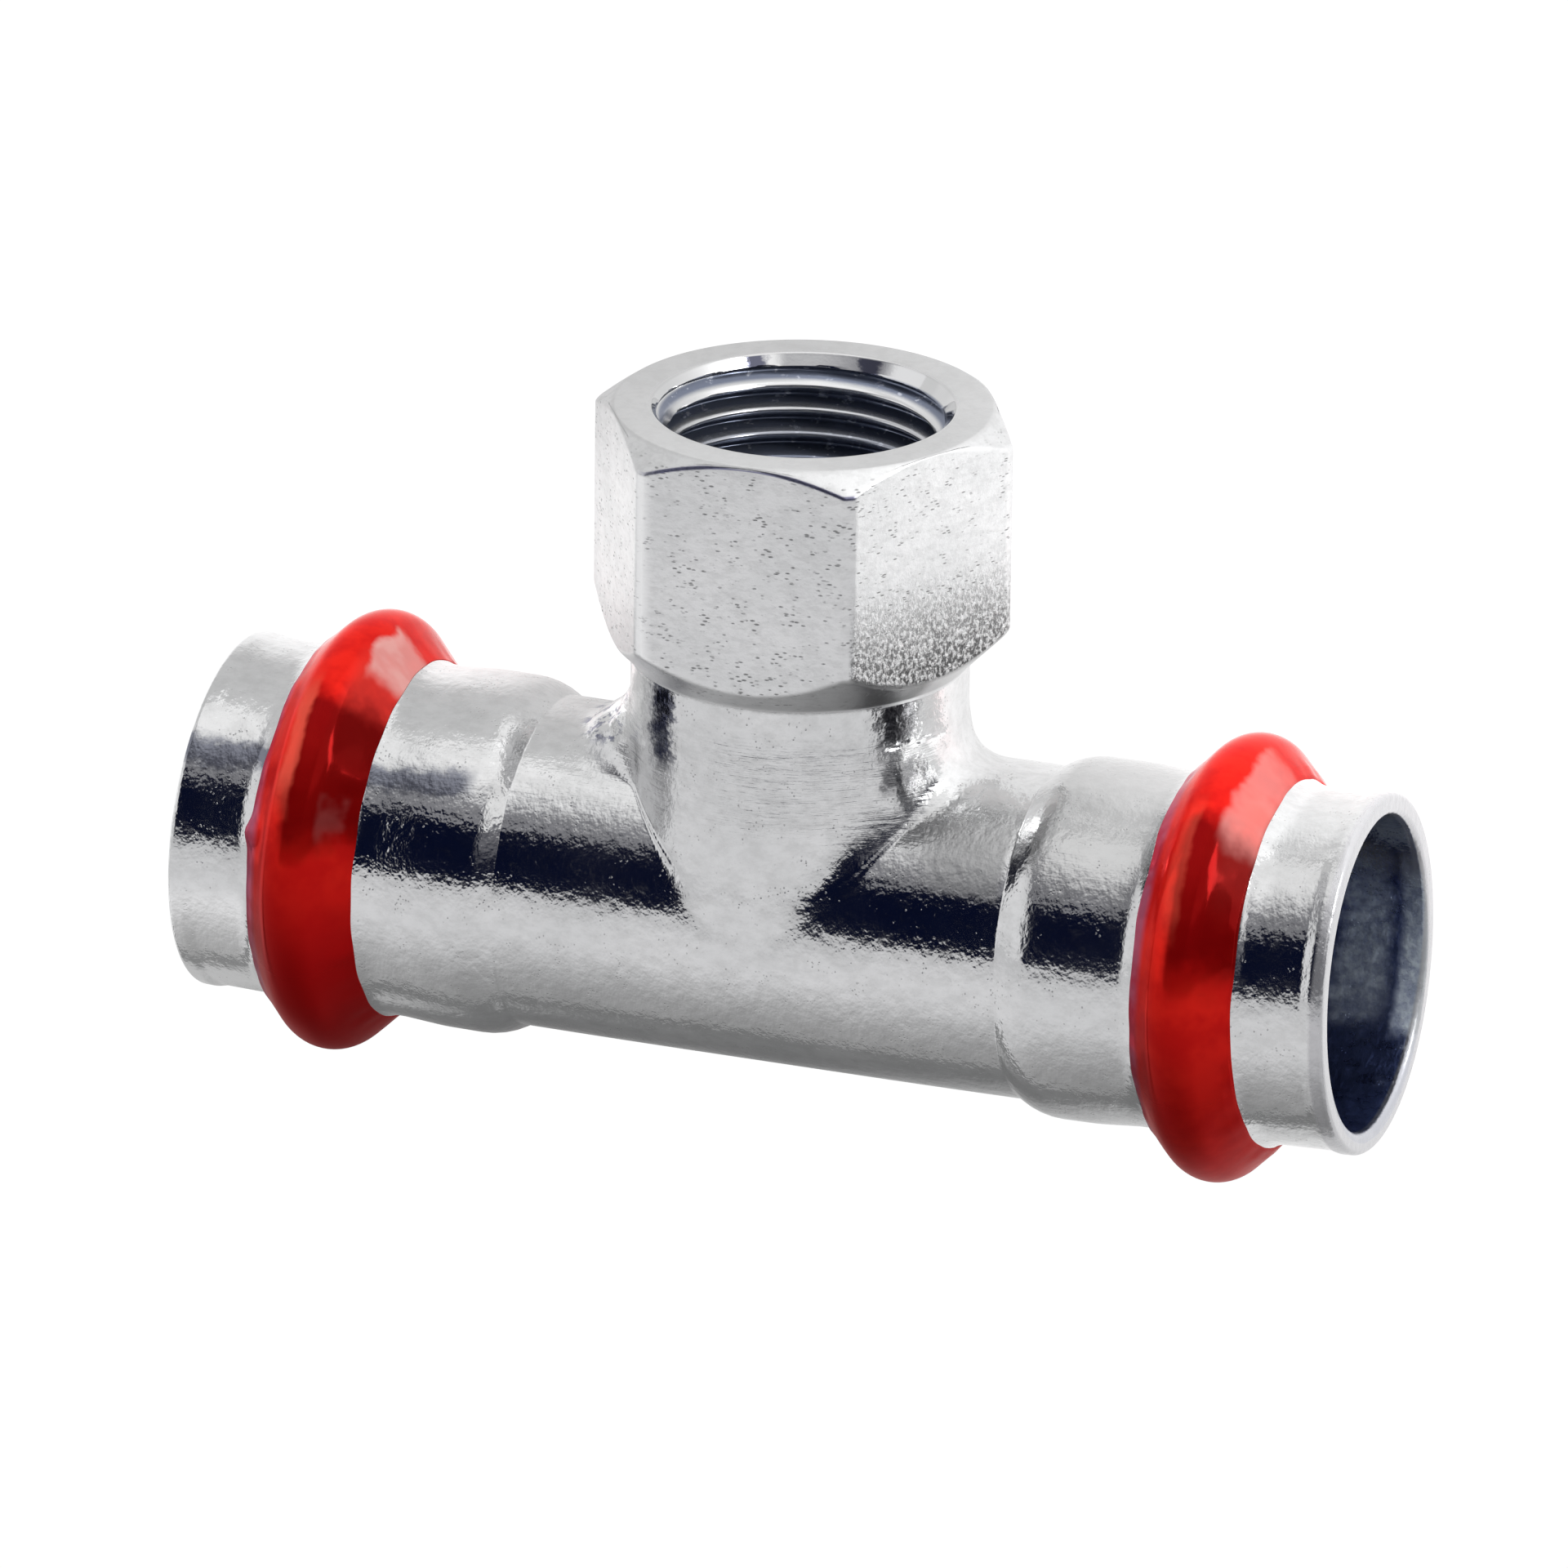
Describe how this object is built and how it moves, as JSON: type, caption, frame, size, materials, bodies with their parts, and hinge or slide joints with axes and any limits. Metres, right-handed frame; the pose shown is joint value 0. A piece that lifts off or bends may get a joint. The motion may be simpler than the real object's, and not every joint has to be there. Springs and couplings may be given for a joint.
{
  "type": "press tee",
  "caption": "Steel pipe tee for pressed joints: a straight tube with a beaded press socket and red indicator ring at each end, and a hexagonal branch with a female pipe thread.",
  "frame": {"origin": "below the middle of the bounding box, on the surface that the fitting lies on", "axes": "+X along the run tube towards the right-hand socket, +Y up the branch, +Z away from the surface that the fitting lies on"},
  "size_m": [0.086, 0.053, 0.0317],
  "materials": {
    "tee_body": "bright zinc plating, formed tube",
    "threaded_branch": "satin zinc plating, turned and drawn",
    "weld_seam": "ground weld, plated over",
    "seal": "smooth black rubber",
    "indicator": "glossy red film"
  },
  "bodies": {
    "root": {"tee_body": "tee_body", "threaded_branch": "threaded_branch", "weld_seam": "weld_seam", "seal_left": "seal", "seal_right": "seal", "indicator_left": "indicator", "indicator_right": "indicator"}
  },
  "joints": []
}
